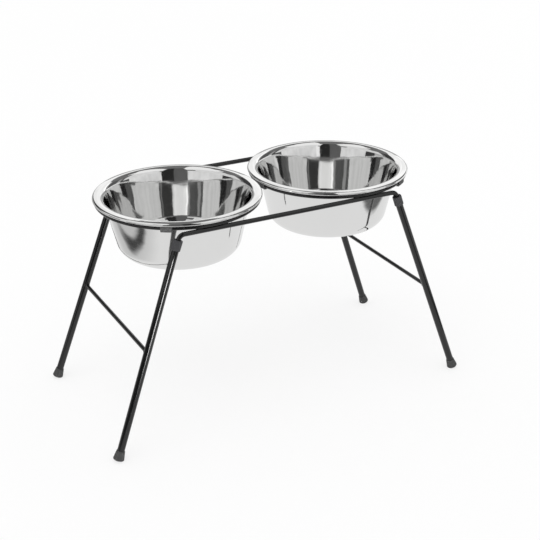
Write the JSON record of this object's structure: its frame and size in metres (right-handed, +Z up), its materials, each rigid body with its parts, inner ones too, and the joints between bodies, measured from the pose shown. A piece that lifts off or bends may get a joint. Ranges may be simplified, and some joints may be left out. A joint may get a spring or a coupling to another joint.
{
  "type": "elevated pet feeder",
  "caption": "Raised feeding stand: steel bowls with rolled rims hang in wire rings on two rails, whose bent ends plug into splayed tubular leg frames with rubber feet.",
  "frame": {"origin": "on the floor, under the middle of the stand", "axes": "+X along the rails from the left bowl to the right bowl, +Y from the front rail to the rear rail, +Z up"},
  "size_m": [0.5992, 0.2896, 0.3366],
  "materials": {
    "bowl_steel": "mirror-polished stainless steel",
    "frame_paint": "gloss black coating",
    "collar_plastic": "satin dark grey",
    "foot_rubber": "matte dark grey",
    "clip_rubber": "satin grey"
  },
  "bodies": {
    "stand_top": {"rail_front": "frame_paint", "rail_rear": "frame_paint", "ring_left": "frame_paint", "ring_right": "frame_paint", "ring_welds_left": "frame_paint", "ring_welds_right": "frame_paint", "clip_left_front": "clip_rubber", "clip_left_inner": "clip_rubber", "clip_left_rear": "clip_rubber", "clip_right_front": "clip_rubber", "clip_right_inner": "clip_rubber", "clip_right_rear": "clip_rubber"},
    "left_leg_frame": {"leg_left_front": "frame_paint", "leg_left_rear": "frame_paint", "collar_left_front": "collar_plastic", "collar_left_rear": "collar_plastic", "foot_left_front": "foot_rubber", "foot_left_rear": "foot_rubber", "brace_left": "frame_paint", "brace_welds_left": "frame_paint"},
    "right_leg_frame": {"leg_right_front": "frame_paint", "leg_right_rear": "frame_paint", "collar_right_front": "collar_plastic", "collar_right_rear": "collar_plastic", "foot_right_front": "foot_rubber", "foot_right_rear": "foot_rubber", "brace_right": "frame_paint", "brace_welds_right": "frame_paint"},
    "left_bowl": {"bowl_left": "bowl_steel"},
    "right_bowl": {"bowl_right": "bowl_steel"}
  },
  "joints": [
    {"name": "left_bowl_lift", "type": "slide", "parent": "stand_top", "child": "left_bowl", "axis": [0, 0, 1], "range_m": [0, 0.12]},
    {"name": "right_bowl_lift", "type": "slide", "parent": "stand_top", "child": "right_bowl", "axis": [0, 0, 1], "range_m": [0, 0.12]},
    {"name": "left_legs_pull", "type": "slide", "parent": "stand_top", "child": "left_leg_frame", "axis": [-0.3404, 0, -0.9403], "range_m": [0, 0.04]},
    {"name": "right_legs_pull", "type": "slide", "parent": "stand_top", "child": "right_leg_frame", "axis": [0.3404, 0, -0.9403], "range_m": [0, 0.04]}
  ]
}
